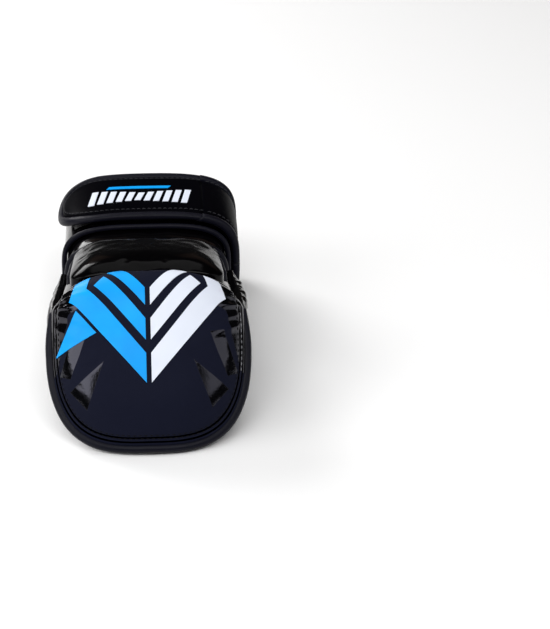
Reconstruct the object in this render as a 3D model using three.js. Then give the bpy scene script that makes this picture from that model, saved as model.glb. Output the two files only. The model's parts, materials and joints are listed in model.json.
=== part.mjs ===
// Sparring glove for the right hand: a curved knuckle pad, a padded hand shell, a thumb sleeve, finger loops,
// a wrist cuff and a wrap-around closing strap. Millimetres. +X towards the thumb, +Y from fingertips to
// forearm, +Z up. The glove lies palm down: the pad's tip and the strap's underside touch z = 0.
import * as THREE from "three";
import { mergeVertices } from "three/addons/utils/BufferGeometryUtils.js";

const { PI, abs, sin, cos, atan2, hypot, max, min, sqrt } = Math;
const RAD = PI / 180;
const GAP = 0.35; // air between neighbouring pieces
const LAYER_GAP = 1; // air between curved layers, whose facets stray from the true surface

// ---------------------------------------------------------------- driving dimensions
const LEATHER = 1.4; // skins and outer panels
const LINING = 1.2; // textile linings

// The pad's middle line, tip to knuckle crest: [length, slope at its start, slope at its end] of each arc.
const SPINE = [
  [22, 45, 51],
  [56, 51, 55],
  [40, 55, -10],
];
const SPINE_START = { y: 0.5, z: 18.5 };
const PAD = {
  length: 118,
  middle: 62, // where it is widest, along its middle line
  tipLength: 63.5, // from there to the tip
  halfWidth: 57,
  tipRoundness: 2.9, // superellipse exponents
  crestRoundness: 5.5,
  crestTaper: 0.06, // share of the width lost at the crest
  crownRadius: 150,
  thickness: 25.8,
  rimDrop: 13.8, // how far the skin curls down at the rim
  rimPower: 6, // how suddenly it does
  rimRise: 7, // how far the lining curls up at the rim
};
const BINDING = { width: 2.7, height: 2.8 }; // half sizes of the bound edge's section

const HAND = {
  front: 88.5,
  lean: 13, // how far its front edge leans back at the sides, below the knuckle axis
  leanFrom: -0.6, // sine of the angle below which it leans no further
  leanPower: 1.2,
  rear: 158.4,
  topFront: 74,
  topRear: 65.6,
  bottomFront: 11,
  bottomRear: 9.6,
  halfFront: 55.5,
  halfRear: 50.5,
  roundness: 3.2,
};
const BACK_PAD = {
  front: 89,
  rear: 150,
  halfFront: 48,
  halfRear: 45,
  roundness: 8,
  thickness: 13,
  rimDrop: 6,
};
const PIPING = { size: 1.3, away: 1.9, lift: 2.4, from: -10, to: 190 }; // round the back pad's rear and sides
const SIDE_PAD = { thickness: 8, rear: 156, topRight: 11, topLeft: 169, curl: 3.6 };
const FOAM_BASE = 1.1; // a foam core's height above the panel that it lies on

const CUFF = {
  halfWidth: 51,
  halfHeight: 28,
  roundness: 3.5,
  front: 164.4,
  rear: 248,
  slitFrom: -72,
  slitTo: 248,
  padding: 2.8,
};
const CUFF_EDGE = { width: 2.4, height: 3.1, away: 2.5, lift: 0.8 }; // its bound edges
const FLAP = { from: -56, to: 192, front: 183.5, rear: 245.5, high: 1.8 };
const FLAP_EDGE = { width: 1.8, height: 1.6, away: 2.2, lift: 2.1 };
const PATCH = { from: 48, to: 152, front: 191, rear: 240, high: 3.25 };
const HOOK = { from: 136, to: 150, front: 200, rear: 232, low: 3.7 };
const STRAP = { front: 190, rear: 242.5, inner: 5.2, outer: 8.8, edgeWidth: 2.9, edgeHeight: 2.5 };
const STRAP_ANGLES = { root: -93.8, side: -32, shoulder: 32, peel: 128, end: 155 };
const TAIL = {
  roundness: 2.15,
  fullness: 0.94, // share of its round end that the band fills
  hollow: 0.12, // how far its corners fall behind its middle
  degreesPerMm: 0.86, // arc round the wrist at its end
  edgeGap: 0.5, // added to GAP between the band and its bound edge
};
const ARC_STEP = 8; // degrees per facet round the wrist: every layer bends at the same angles
const CUFF_CENTRE_Z = CUFF.halfHeight + (STRAP.inner + STRAP.outer) / 2 + STRAP.edgeHeight;

const KNUCKLE_AXIS = { y: 85.2, z: 76.2 };
const LOOP = { radius: 11.5, wall: 1.4, pitch: 26.4, from: 54, to: 80, count: 4, below: 0.8 };
const BAR = { y: 123, z: 21, radius: 8.5, halfLength: 31, offset: -6 };
const THUMB = {
  base: new THREE.Vector3(45.5, 139, 20),
  tip: new THREE.Vector3(47.5, 104, 17.5),
  baseRadius: 13.8,
  tipRadius: 12.8,
  pad: 3.3, // height of the padding on its outer side
};
const THUMB_EDGE = { share: 0.055, height: 1.9, sunk: 1.2 }; // the roll round its mouth
const WEB = { half: 38, front: 81.6, rear: 87.9, below: 5.2, thickness: 1 };

// ---------------------------------------------------------------- solids made by forming simple geometries
function signedVolume(geometry) {
  const p = geometry.attributes.position;
  const index = geometry.index;
  const [a, b, c] = [new THREE.Vector3(), new THREE.Vector3(), new THREE.Vector3()];
  let volume = 0;
  for (let i = 0; i < index.count; i += 3) {
    a.fromBufferAttribute(p, index.getX(i));
    b.fromBufferAttribute(p, index.getX(i + 1));
    c.fromBufferAttribute(p, index.getX(i + 2));
    volume += a.dot(b.cross(c)) / 6;
  }
  return volume;
}

// Moves every vertex of a closed geometry to place(x, y, z), and keeps its faces pointing out.
function form(geometry, place) {
  const p = geometry.attributes.position;
  for (let i = 0; i < p.count; i++) {
    const to = place(p.getX(i), p.getY(i), p.getZ(i));
    p.setXYZ(i, to.x, to.y, to.z);
  }
  geometry.deleteAttribute("normal");
  geometry.deleteAttribute("uv");
  geometry.clearGroups();
  const merged = mergeVertices(geometry, 1e-4);
  if (signedVolume(merged) < 0) {
    const index = merged.index;
    for (let i = 0; i < index.count; i += 3) {
      const first = index.getX(i);
      index.setX(i, index.getX(i + 1));
      index.setX(i + 1, first);
    }
  }
  merged.computeVertexNormals();
  return merged;
}

// A slab: u and v run from -1 to 1 across it, w is -1 on its lower face and 1 on its upper one.
// The lower face's diagonals are turned to lie under the upper face's, so that nested layers keep their gap.
function slab(acrossU, acrossV, place) {
  const box = new THREE.BoxGeometry(2, 2, 2, acrossU, acrossV, 1);
  const lowerFace = box.groups[5];
  for (let i = lowerFace.start; i < lowerFace.start + lowerFace.count; i += 6) {
    const [a, b, d, , c] = [0, 1, 2, 3, 4].map((step) => box.index.getX(i + step));
    [a, b, c, a, c, d].forEach((corner, step) => box.index.setX(i + step, corner));
  }
  return form(box, place);
}

// A rod: t runs from -1 to 1 along it, a and b are its unit section.
const rod = (around, along, place) =>
  form(new THREE.CylinderGeometry(1, 1, 2, around, along), (x, y, z) => place(y, x, z));

// A closed ring: turn is the angle round it, a and b are its unit section.
const ring = (around, along, place) =>
  form(new THREE.TorusGeometry(2, 1, around, along), (x, y, z) => place(atan2(y, x), hypot(x, y) - 2, z));

// A sleeve: turn is the angle round it, a is -1 inside and 1 outside, b runs along it from -1 to 1.
const SLEEVE_SECTION = [[1, -1], [3, -1], [3, 1], [1, 1], [1, -1]].map(([r, h]) => new THREE.Vector2(r, h));
const sleeve = (around, place) =>
  form(new THREE.LatheGeometry(SLEEVE_SECTION, around), (x, y, z) => place(atan2(z, x), hypot(x, z) - 2, y));

const point = (x, y, z) => new THREE.Vector3(x, y, z);
const mix = THREE.MathUtils.lerp;
const spread = (t, low, high) => mix(low, high, (t + 1) / 2); // t from -1 to 1
const superRadius = (angle, a, b, n) => (abs(cos(angle) / a) ** n + abs(sin(angle) / b) ** n) ** (-1 / n);

// A square's point moved onto the unit disc, as its radius and angle.
function disc(u, v) {
  const x = u * sqrt(1 - (v * v) / 2);
  const y = v * sqrt(1 - (u * u) / 2);
  return { radius: hypot(x, y), angle: atan2(y, x) };
}

// ---------------------------------------------------------------- the knuckle pad's surface
// The middle line's point and slope at distance s from the tip.
function spine(s) {
  let { y, z } = SPINE_START;
  let left = s;
  let slope = SPINE[0][1] * RAD;
  SPINE.forEach(([length, start, end], i) => {
    const step = i === 0 ? min(left, length) : min(max(left, 0), length);
    const turned = (((end - start) * RAD) / length) * step;
    const from = start * RAD;
    const middle = from + turned / 2;
    const chord = abs(turned) < 1e-9 ? step : (step * sin(turned / 2)) / (turned / 2);
    y += chord * cos(middle);
    z += chord * sin(middle);
    if (left > 0 || i === 0) slope = from + turned;
    left -= length;
  });
  return { y, z, slope };
}

// x across the pad, s along its middle line, lift above its uncurled outer face.
function onPad(x, s, lift) {
  const m = spine(s);
  const up = lift - (x * x) / (2 * PAD.crownRadius);
  return point(x, m.y - sin(m.slope) * up, m.z + cos(m.slope) * up);
}

// The pad's outline: where the disc point (radius, angle) lies across and along the pad.
function padPlace(radius, angle) {
  const toCrest = sin(angle) > 0;
  const length = toCrest ? PAD.length - PAD.middle : PAD.tipLength;
  const roundness = toCrest ? PAD.crestRoundness : PAD.tipRoundness;
  const reach = radius * superRadius(angle, PAD.halfWidth, length, roundness);
  const s = PAD.middle + reach * sin(angle);
  const taper = 1 - PAD.crestTaper * max(0, (s - PAD.middle) / (PAD.length - PAD.middle)) ** 1.5;
  return { x: reach * cos(angle) * taper, s };
}

const padTop = (radius) => -PAD.rimDrop * radius ** PAD.rimPower;
const padBottom = (radius) => -PAD.thickness + PAD.rimRise * radius ** 4;

// One layer of the pad, between two lifts that depend on the distance from its middle.
const PAD_CELLS = 14;
function padLayer(cells, low, high) {
  return slab(cells, cells, (u, v, w) => {
    const { radius, angle } = disc(u, v);
    const at = padPlace(radius, angle);
    return onPad(at.x, at.s, w < 0 ? low(radius) : high(radius));
  });
}

// The bound edge that runs round the pad's rim.
function padBinding(from, to, along) {
  const lift = (padTop(1) + padBottom(1)) / 2;
  return rod(8, along, (t, a, b) => {
    const angle = spread(t, from, to) * RAD;
    const rim = padPlace(1, angle);
    const ahead = padPlace(1, angle + 0.01);
    const behind = padPlace(1, angle - 0.01);
    const length = hypot(ahead.x - behind.x, ahead.s - behind.s);
    const out = { x: (ahead.s - behind.s) / length, s: (behind.x - ahead.x) / length };
    const away = GAP + BINDING.width * (1 + a);
    return onPad(rim.x + out.x * away, rim.s + out.s * away, lift + BINDING.height * b);
  });
}

// ---------------------------------------------------------------- the hand shell's surface
// The hand's section at y, grown outwards by lift.
function handSection(y, lift) {
  const t = THREE.MathUtils.smoothstep(y, HAND.front, HAND.rear);
  const top = mix(HAND.topFront, HAND.topRear, t);
  const bottom = mix(HAND.bottomFront, HAND.bottomRear, t);
  return {
    z: (top + bottom) / 2,
    a: mix(HAND.halfFront, HAND.halfRear, t) + lift,
    b: (top - bottom) / 2 + lift,
  };
}

// angle in degrees round the hand: 0 at the thumb side, 90 on the back, 180 at the little finger's side.
function onHand(angle, y, lift) {
  const { z, a, b } = handSection(y, lift);
  const reach = superRadius(angle * RAD, a, b, HAND.roundness);
  return point(reach * cos(angle * RAD), y, z + reach * sin(angle * RAD));
}

// The same surface from above, by distance across.
function onHandBack(x, y, lift) {
  const { z, a, b } = handSection(y, lift);
  return point(x, y, z + b * (1 - abs(x / a) ** HAND.roundness) ** (1 / HAND.roundness));
}

// The hand's front edge leans back below the knuckle axis, so that the pad can close.
const handFront = (angle) =>
  HAND.front + HAND.lean * (1 - max(sin(angle * RAD), HAND.leanFrom)) ** HAND.leanPower;

const handPanel = (cellsRound, cellsAlong, fromAngle, toAngle, rear, low, high) =>
  slab(cellsRound, cellsAlong, (u, v, w) => {
    const angle = spread(u, fromAngle, toAngle);
    return onHand(angle, spread(v, handFront(angle), rear), w < 0 ? low : high);
  });

// A swelling pad on the hand's side, lowest at its own edges.
const sidePad = (fromAngle, toAngle, low, high) =>
  slab(6, 7, (u, v, w) => {
    const angle = spread(u, fromAngle, toAngle);
    const curl = SIDE_PAD.curl * disc(u, v).radius ** 6;
    const lift = w > 0 ? high - curl : max(low - curl, FOAM_BASE);
    return onHand(angle, spread(v, handFront(angle) + 1, SIDE_PAD.rear), lift);
  });

function backPadPlace(radius, angle) {
  const halfLength = (BACK_PAD.rear - BACK_PAD.front) / 2;
  const reach = radius * superRadius(angle, 1, 1, BACK_PAD.roundness);
  const along = reach * sin(angle);
  const half = spread(along, BACK_PAD.halfFront, BACK_PAD.halfRear);
  return { x: reach * cos(angle) * half, y: (BACK_PAD.front + BACK_PAD.rear) / 2 + along * halfLength };
}

const backPadTop = (radius) => BACK_PAD.thickness - BACK_PAD.rimDrop * radius ** 5;

const backPadLayer = (low, high) =>
  slab(16, 10, (u, v, w) => {
    const { radius, angle } = disc(u, v);
    const at = backPadPlace(radius, angle);
    return onHandBack(at.x, at.y, w < 0 ? low(radius) : high(radius));
  });

// ---------------------------------------------------------------- the cuff's and the strap's surface
function onCuff(angle, y, lift) {
  const reach = superRadius(angle * RAD, CUFF.halfWidth + lift, CUFF.halfHeight + lift, CUFF.roundness);
  return point(reach * cos(angle * RAD), y, CUFF_CENTRE_Z + reach * sin(angle * RAD));
}

const arcCells = (fromAngle, toAngle) => Math.round((toAngle - fromAngle) / ARC_STEP);

const cuffBand = (fromAngle, toAngle, front, rear, low, high) =>
  slab(arcCells(fromAngle, toAngle), 1, (u, v, w) =>
    onCuff(spread(u, fromAngle, toAngle), spread(v, front, rear), w < 0 ? low : high),
  );

// A rolled edge round the cuff or the strap, at one y.
const cuffRoll = (fromAngle, toAngle, y, lift, width, height) =>
  rod(8, arcCells(fromAngle, toAngle), (t, a, b) =>
    onCuff(spread(t, fromAngle, toAngle), y + width * a, lift + height * b),
  );

// ---------------------------------------------------------------- materials
const finish = (color, roughness, metalness = 0) =>
  new THREE.MeshStandardMaterial({ color, roughness, metalness });
const matteLeather = finish(0x17181f, 0.6);
const glossLeather = finish(0x0b0b0e, 0.18);
const edging = finish(0x1a1b22, 0.42);
const textile = finish(0x1d1d20, 0.9);
const firmFoam = finish(0x2a2a2c, 0.85);
const softFoam = finish(0x6f6f72, 0.9);
const hookTape = finish(0x121214, 0.95);

const glove = new THREE.Group();

function body() {
  const group = new THREE.Group();
  glove.add(group);
  return (name, geometry, material) => {
    const mesh = new THREE.Mesh(geometry, material);
    mesh.name = name;
    group.add(mesh);
  };
}

// ---------------------------------------------------------------- knuckle pad
const FOAM_SPLIT = 0.45; // share of the pad's depth that is soft foam
const addToKnuckle = body();
const padSplit = (radius) => mix(padBottom(radius), padTop(radius), FOAM_SPLIT);
const liningTop = (radius) => padBottom(radius) + LINING;
for (const [name, low, high, material] of [
  ["knuckle_pad_skin", (r) => padTop(r) - LEATHER, padTop, matteLeather],
  ["knuckle_foam_firm", (r) => padSplit(r) + LAYER_GAP / 2, (r) => padTop(r) - LEATHER - LAYER_GAP, firmFoam],
  ["knuckle_foam_soft", (r) => liningTop(r) + LAYER_GAP, (r) => padSplit(r) - LAYER_GAP / 2, softFoam],
  ["finger_side_lining", padBottom, liningTop, textile],
]) {
  addToKnuckle(name, padLayer(PAD_CELLS, low, high), material);
}
addToKnuckle("knuckle_pad_binding", padBinding(-212, 32, 44), edging);

// ---------------------------------------------------------------- finger loops, sewn under the pad
const loopDepth = PAD.thickness + LOOP.radius + LOOP.wall + LOOP.below;
for (let i = 0; i < LOOP.count; i++) {
  const x = (i - (LOOP.count - 1) / 2) * LOOP.pitch;
  const addToFinger = body();
  const ends = [onPad(0, LOOP.from, -loopDepth), onPad(0, LOOP.to, -loopDepth)];
  const along = ends[1].clone().sub(ends[0]).normalize();
  const across = point(1, 0, 0);
  const up = across.clone().cross(along);
  const sag = (x * x) / (2 * PAD.crownRadius);
  const tube = sleeve(20, (turn, a, b) => {
    const reach = spread(a, LOOP.radius, LOOP.radius + LOOP.wall);
    return ends[0]
      .clone()
      .lerp(ends[1], (1 + b) / 2)
      .addScaledVector(across, x + reach * cos(turn))
      .addScaledVector(up, reach * sin(turn) - sag);
  });
  addToFinger(`finger_loop_${i + 1}`, tube, textile);
}

// ---------------------------------------------------------------- hand shell, its pads and the palm
const THUMB_SIDE = -3; // the shell ends above the thumb hole
const LITTLE_SIDE = 208;
const addToHand = body();

addToHand("hand_shell", handPanel(20, 5, THUMB_SIDE, LITTLE_SIDE, HAND.rear, -LEATHER, 0), matteLeather);
addToHand(
  "hand_lining",
  handPanel(20, 4, THUMB_SIDE, LITTLE_SIDE, HAND.rear, -LEATHER - GAP - LINING, -LEATHER - GAP),
  textile,
);
const backFoamTop = (radius) => backPadTop(radius) - LEATHER - 2 * LAYER_GAP;
addToHand("hand_back_foam", backPadLayer(() => FOAM_BASE, backFoamTop), firmFoam);
addToHand("hand_back_skin", backPadLayer((r) => backPadTop(r) - LEATHER, backPadTop), glossLeather);
addToHand(
  "hand_back_piping",
  rod(6, 36, (t, a, b) => {
    const at = backPadPlace(1, spread(t, PIPING.from, PIPING.to) * RAD);
    const half = { x: at.x, y: at.y - (BACK_PAD.front + BACK_PAD.rear) / 2 };
    const length = hypot(half.x, half.y);
    const away = PIPING.away + PIPING.size * a;
    const lift = PIPING.lift + PIPING.size * b;
    return onHandBack(at.x + (half.x / length) * away, at.y + (half.y / length) * away, lift);
  }),
  edging,
);
for (const [side, from, to] of [
  ["right", THUMB_SIDE + 1, SIDE_PAD.topRight],
  ["left", SIDE_PAD.topLeft, LITTLE_SIDE - 1],
]) {
  const inside = SIDE_PAD.thickness - LEATHER;
  addToHand(`side_foam_${side}`, sidePad(from, to, 0, inside - LAYER_GAP), softFoam);
  addToHand(`side_skin_${side}`, sidePad(from, to, inside, SIDE_PAD.thickness), glossLeather);
}

const PALM_FRONT = 134;
const GUSSET_FRONT = 142;
const PALM_THUMB_EDGE = -64;
const palmLayer = (cellsRound, cellsAlong, fromAngle, toAngle, front) =>
  slab(cellsRound, cellsAlong, (u, v, w) =>
    onHand(spread(u, fromAngle, toAngle), spread(v, front, HAND.rear), w < 0 ? -LEATHER : 0),
  );
const palmPanel = palmLayer(8, 4, LITTLE_SIDE + 1 - 360, PALM_THUMB_EDGE, PALM_FRONT);
addToHand("palm_panel", palmPanel, matteLeather);
const thumbGusset = palmLayer(6, 2, PALM_THUMB_EDGE + 1, THUMB_SIDE - 1, GUSSET_FRONT);
addToHand("thumb_gusset", thumbGusset, matteLeather);

// ---------------------------------------------------------------- grip bar across the palm
addToHand(
  "grip_bar_cover",
  sleeve(16, (turn, a, b) => {
    const reach = spread(a, BAR.radius - LEATHER, BAR.radius);
    return point(BAR.offset + BAR.halfLength * b, BAR.y + reach * cos(turn), BAR.z + reach * sin(turn));
  }),
  matteLeather,
);
addToHand(
  "grip_bar_core",
  rod(12, 1, (t, a, b) =>
    point(
      BAR.offset + (BAR.halfLength - 1) * t,
      BAR.y + (BAR.radius - LEATHER - 1) * a,
      BAR.z + (BAR.radius - LEATHER - 1) * b,
    ),
  ),
  softFoam,
);

// ---------------------------------------------------------------- thumb sleeve
const addToThumb = body();
const thumbAlong = THUMB.tip.clone().sub(THUMB.base).normalize();
const thumbAcross = point(1, 0, 0).addScaledVector(thumbAlong, -thumbAlong.x).normalize();
const thumbUp = thumbAlong.clone().cross(thumbAcross).negate();

function onThumb(turn, share, lift) {
  const reach = mix(THUMB.baseRadius, THUMB.tipRadius, share) + lift;
  return THUMB.base
    .clone()
    .lerp(THUMB.tip, share)
    .addScaledVector(thumbAcross, reach * cos(turn))
    .addScaledVector(thumbUp, reach * sin(turn));
}

const thumbTube = (from, to, low, high) =>
  sleeve(18, (turn, a, b) => onThumb(turn, spread(b, from, to), spread(a, low, high)));

addToThumb("thumb_sleeve", thumbTube(0, 0.93, -LEATHER, 0), matteLeather);
addToThumb("thumb_lining", thumbTube(0.02, 0.91, -LEATHER - GAP - LINING, -LEATHER - GAP), textile);
const mouthRoll = (turn, a, b) =>
  onThumb(turn, 1 + THUMB_EDGE.share * b, THUMB_EDGE.height * a - THUMB_EDGE.sunk);
addToThumb("thumb_binding", ring(6, 18, mouthRoll), edging);
addToThumb(
  "thumb_pad",
  slab(5, 4, (u, v, w) => {
    const swell = 1 - 0.5 * disc(u, v).radius ** 4;
    return onThumb(spread(u, -50, 50) * RAD, spread(v, 0.14, 0.86), w < 0 ? GAP : THUMB.pad * swell);
  }),
  glossLeather,
);

// ---------------------------------------------------------------- cuff
const cuffMiddle = CUFF_EDGE.lift - (LEATHER + GAP + CUFF.padding) / 2;
const { slitFrom, slitTo } = CUFF;
const cuffFoamTop = -LEATHER - GAP;

addToHand("cuff_shell", cuffBand(slitFrom, slitTo, CUFF.front, CUFF.rear, -LEATHER, 0), matteLeather);
addToHand(
  "cuff_padding",
  cuffBand(slitFrom, slitTo, CUFF.front, CUFF.rear, cuffFoamTop - CUFF.padding, cuffFoamTop),
  textile,
);
for (const [edge, y] of [
  ["front", CUFF.front - GAP - CUFF_EDGE.away],
  ["rear", CUFF.rear + GAP + CUFF_EDGE.away],
]) {
  const roll = cuffRoll(slitFrom, slitTo, y, cuffMiddle, CUFF_EDGE.width, CUFF_EDGE.height);
  addToHand(`cuff_${edge}_binding`, roll, edging);
}
addToHand("cuff_flap", cuffBand(FLAP.from, FLAP.to, FLAP.front, FLAP.rear, GAP, FLAP.high), glossLeather);
const flapEdgeY = FLAP.front - FLAP_EDGE.away;
addToHand(
  "cuff_flap_binding",
  cuffRoll(FLAP.from, FLAP.to, flapEdgeY, FLAP_EDGE.lift, FLAP_EDGE.width, FLAP_EDGE.height),
  edging,
);
addToHand(
  "loop_patch",
  cuffBand(PATCH.from, PATCH.to, PATCH.front, PATCH.rear, FLAP.high + GAP, PATCH.high),
  hookTape,
);

// ---------------------------------------------------------------- strap, in parts that fold on each other
const strapMiddle = (STRAP.inner + STRAP.outer) / 2;
const HINGE_GAP = 1; // degrees of arc left open on each side of a fold line

const STRAP_EDGES = {
  front: STRAP.front - STRAP.edgeWidth - GAP,
  rear: STRAP.rear + STRAP.edgeWidth + GAP,
};

const strapBand = (from, to) => cuffBand(from, to, STRAP.front, STRAP.rear, STRAP.inner, STRAP.outer);

const { root, side, shoulder, peel, end } = STRAP_ANGLES;
const addToSide = body();
const addToTop = body();
for (const [stretch, add, from, to] of [
  ["under", addToHand, root, side - HINGE_GAP],
  ["side", addToSide, side + HINGE_GAP, shoulder - HINGE_GAP],
  ["top", addToTop, shoulder + HINGE_GAP, peel - HINGE_GAP],
]) {
  add(`strap_${stretch}_band`, strapBand(from, to), matteLeather);
  for (const [edge, y] of Object.entries(STRAP_EDGES)) {
    const roll = cuffRoll(from, to, y, strapMiddle, STRAP.edgeWidth, STRAP.edgeHeight);
    add(`strap_${stretch}_binding_${edge}`, roll, edging);
  }
}

// The tail's outline: u along the arc from the fold line, v across it, round at its far end.
const tailMiddle = (STRAP.front + STRAP.rear) / 2;
const tailHalf = (STRAP.rear - STRAP.front) / 2;
const addToTip = body();
addToTip(
  "strap_tip_band",
  slab(7, 8, (u, v, w) => {
    const along = (u + 1) / 2;
    const half = tailHalf * (1 - (TAIL.fullness * along) ** TAIL.roundness) ** (1 / TAIL.roundness);
    const reach = along * (1 - TAIL.hollow * v * v * along);
    const angle = mix(peel + HINGE_GAP, end, reach);
    return onCuff(angle, tailMiddle + v * half, w < 0 ? STRAP.inner : STRAP.outer);
  }),
  matteLeather,
);
addToTip(
  "strap_tip_binding",
  rod(8, 26, (t, a, b) => {
    const turn = (t * PI) / 2;
    const along = abs(cos(turn)) ** (2 / TAIL.roundness);
    const across = Math.sign(turn) * abs(sin(turn)) ** (2 / TAIL.roundness);
    const away = GAP + TAIL.edgeGap + STRAP.edgeWidth * (1 + a);
    const angle = mix(peel + HINGE_GAP, end, along) + cos(turn) * away * TAIL.degreesPerMm;
    const y = tailMiddle + tailHalf * across + sin(turn) * away;
    return onCuff(angle, y, strapMiddle + STRAP.edgeHeight * b);
  }),
  edging,
);
addToTip(
  "hook_patch",
  cuffBand(HOOK.from, HOOK.to, HOOK.front, HOOK.rear, HOOK.low, STRAP.inner - GAP),
  hookTape,
);

// ---------------------------------------------------------------- the web that folds with the knuckle joint
addToHand(
  "flex_web",
  slab(8, 2, (u, v, w) => {
    const x = u * WEB.half;
    const drop = WEB.below + (x * x) / (2 * PAD.crownRadius);
    return point(x, spread(v, WEB.front, WEB.rear), KNUCKLE_AXIS.z - drop + (w * WEB.thickness) / 2);
  }),
  glossLeather,
);

// The frame's origin is the middle of the glove's footprint.
const footprint = new THREE.Box3().setFromObject(glove);
const middle = footprint.getCenter(new THREE.Vector3());
glove.position.set(-middle.x, -middle.y, -footprint.min.z);

export default glove;
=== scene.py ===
"""Looks for the sparring glove: padded leather shapes, bindings, stitching, prints, a studio and a camera.

Lengths are millimetres in the row frame until a mesh is made, which turns them into metres.
"""

import json
import math

import bpy
import numpy as np
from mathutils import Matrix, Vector
from mathutils.bvhtree import BVHTree
from mathutils.geometry import delaunay_2d_cdt


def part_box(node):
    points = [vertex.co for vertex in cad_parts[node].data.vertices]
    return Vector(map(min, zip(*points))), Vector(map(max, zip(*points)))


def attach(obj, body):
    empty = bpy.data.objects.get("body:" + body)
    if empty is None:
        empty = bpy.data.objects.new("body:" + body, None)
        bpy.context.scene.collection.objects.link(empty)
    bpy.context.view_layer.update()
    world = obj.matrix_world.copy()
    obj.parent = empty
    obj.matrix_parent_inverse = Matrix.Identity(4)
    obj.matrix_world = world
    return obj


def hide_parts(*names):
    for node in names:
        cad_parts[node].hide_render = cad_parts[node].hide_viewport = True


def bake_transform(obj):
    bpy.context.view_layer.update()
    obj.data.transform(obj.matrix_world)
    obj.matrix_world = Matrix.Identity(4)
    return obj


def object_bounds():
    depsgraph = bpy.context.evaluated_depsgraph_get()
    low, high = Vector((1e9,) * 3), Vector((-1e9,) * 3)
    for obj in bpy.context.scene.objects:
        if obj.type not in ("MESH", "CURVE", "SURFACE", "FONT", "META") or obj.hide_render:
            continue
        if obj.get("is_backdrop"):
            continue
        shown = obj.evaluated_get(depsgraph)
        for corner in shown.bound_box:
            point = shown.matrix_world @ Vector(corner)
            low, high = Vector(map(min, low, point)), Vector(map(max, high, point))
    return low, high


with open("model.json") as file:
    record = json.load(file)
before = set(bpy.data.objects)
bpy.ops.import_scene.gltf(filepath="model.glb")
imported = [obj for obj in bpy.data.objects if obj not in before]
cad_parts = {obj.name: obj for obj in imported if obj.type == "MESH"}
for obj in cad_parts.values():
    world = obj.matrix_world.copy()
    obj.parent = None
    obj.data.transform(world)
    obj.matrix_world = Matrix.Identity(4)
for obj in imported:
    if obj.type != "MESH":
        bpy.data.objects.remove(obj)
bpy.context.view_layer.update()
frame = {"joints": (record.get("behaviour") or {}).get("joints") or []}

MM = 0.001
JOINTS = {joint["name"]: joint for joint in frame["joints"]}


def box(node):
    """Lowest and highest corner of a CAD node, in millimetres."""
    return np.array(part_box(node)) / MM


def joint_place(name):
    return np.array(JOINTS[name]["pos_m"]) / MM


def wear(piece, body, slot_name, *nodes):
    """Makes a piece ride on a body and stand for CAD nodes. Its slot name is not used."""
    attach(piece, body)
    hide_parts(*nodes)


# ---------------------------------------------------------------- small mathematics
def vec(x, y, z):
    return np.stack(np.broadcast_arrays(x, y, z), axis=-1).astype(float)


def mix(low, high, t):
    return low + (high - low) * t


def smooth(t):
    t = np.clip(t, 0, 1)
    return t * t * (3 - 2 * t)


def unit(v):
    return v / np.maximum(np.linalg.norm(v, axis=-1, keepdims=True), 1e-12)


def super_radius(angle, a, b, n):
    return (np.abs(np.cos(angle) / a) ** n + np.abs(np.sin(angle) / b) ** n) ** (-1 / n)


def disc(u, v):
    """A square's points moved onto the unit disc, as radius and angle."""
    x = u * np.sqrt(1 - v * v / 2)
    y = v * np.sqrt(1 - u * u / 2)
    return np.hypot(x, y), np.arctan2(y, x)


def ripple(p, wavelength, seed, waves=7):
    """Smooth unevenness from -1 to 1 at points p, from a few plane waves."""
    rng = np.random.default_rng(seed)
    total = np.zeros(p.shape[:-1])
    for _ in range(waves):
        direction = unit(rng.normal(size=p.shape[-1]))
        length = wavelength * rng.uniform(0.7, 1.6)
        total += np.sin(p @ direction * (2 * math.pi / length) + rng.uniform(0, 2 * math.pi))
    return total / waves


# ---------------------------------------------------------------- meshes
def add_object(name, data):
    made = bpy.data.objects.new(name, data)
    bpy.context.scene.collection.objects.link(made)
    return made


def signed_volume(points, faces):
    total = 0.0
    for face in faces:
        for k in range(1, len(face) - 1):
            a, b, c = points[face[0]], points[face[k]], points[face[k + 1]]
            total += np.dot(a, np.cross(b, c))
    return total / 6


def add_mesh(name, points, faces, materials, face_materials=None, marks=None, crisp=math.pi):
    """A smooth closed mesh from points in millimetres, with crisp edges where it turns by more than an angle.

    marks are named numbers for each point, which materials read.
    """
    points = np.asarray(points, float)
    if signed_volume(points, faces) < 0:
        faces = [tuple(reversed(face)) for face in faces]
    mesh = bpy.data.meshes.new(name)
    mesh.from_pydata((points * MM).tolist(), [], [tuple(map(int, face)) for face in faces])
    for material in materials if isinstance(materials, (list, tuple)) else [materials]:
        mesh.materials.append(material)
    mesh.polygons.foreach_set("use_smooth", [True] * len(mesh.polygons))
    if face_materials is not None:
        mesh.polygons.foreach_set("material_index", list(map(int, face_materials)))
    for mark, values in (marks or {}).items():
        attribute = mesh.attributes.new(mark, "FLOAT", "POINT")
        attribute.data.foreach_set("value", np.asarray(values, np.float32).ravel())
    mesh.update()
    if crisp < math.pi:
        mesh.set_sharp_from_angle(angle=crisp)
    return add_object(name, mesh)


def block(cells):
    """The surface of a closed box of cells: its points as u, v, w from -1 to 1, and its faces."""
    index = {}
    keys = []
    faces = []

    def at(key):
        if key not in index:
            index[key] = len(keys)
            keys.append(key)
        return index[key]

    for axis in range(3):
        a, b = (axis + 1) % 3, (axis + 2) % 3
        for level in (0, cells[axis]):
            for i in range(cells[a]):
                for j in range(cells[b]):
                    corners = []
                    for step_i, step_j in ((0, 0), (1, 0), (1, 1), (0, 1)):
                        key = [level] * 3
                        key[a] = i + step_i
                        key[b] = j + step_j
                        corners.append(at(tuple(key)))
                    faces.append(corners if level else corners[::-1])
    u, v, w = (np.array(keys) / np.array(cells) * 2 - 1).T
    return u, v, w, faces


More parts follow.
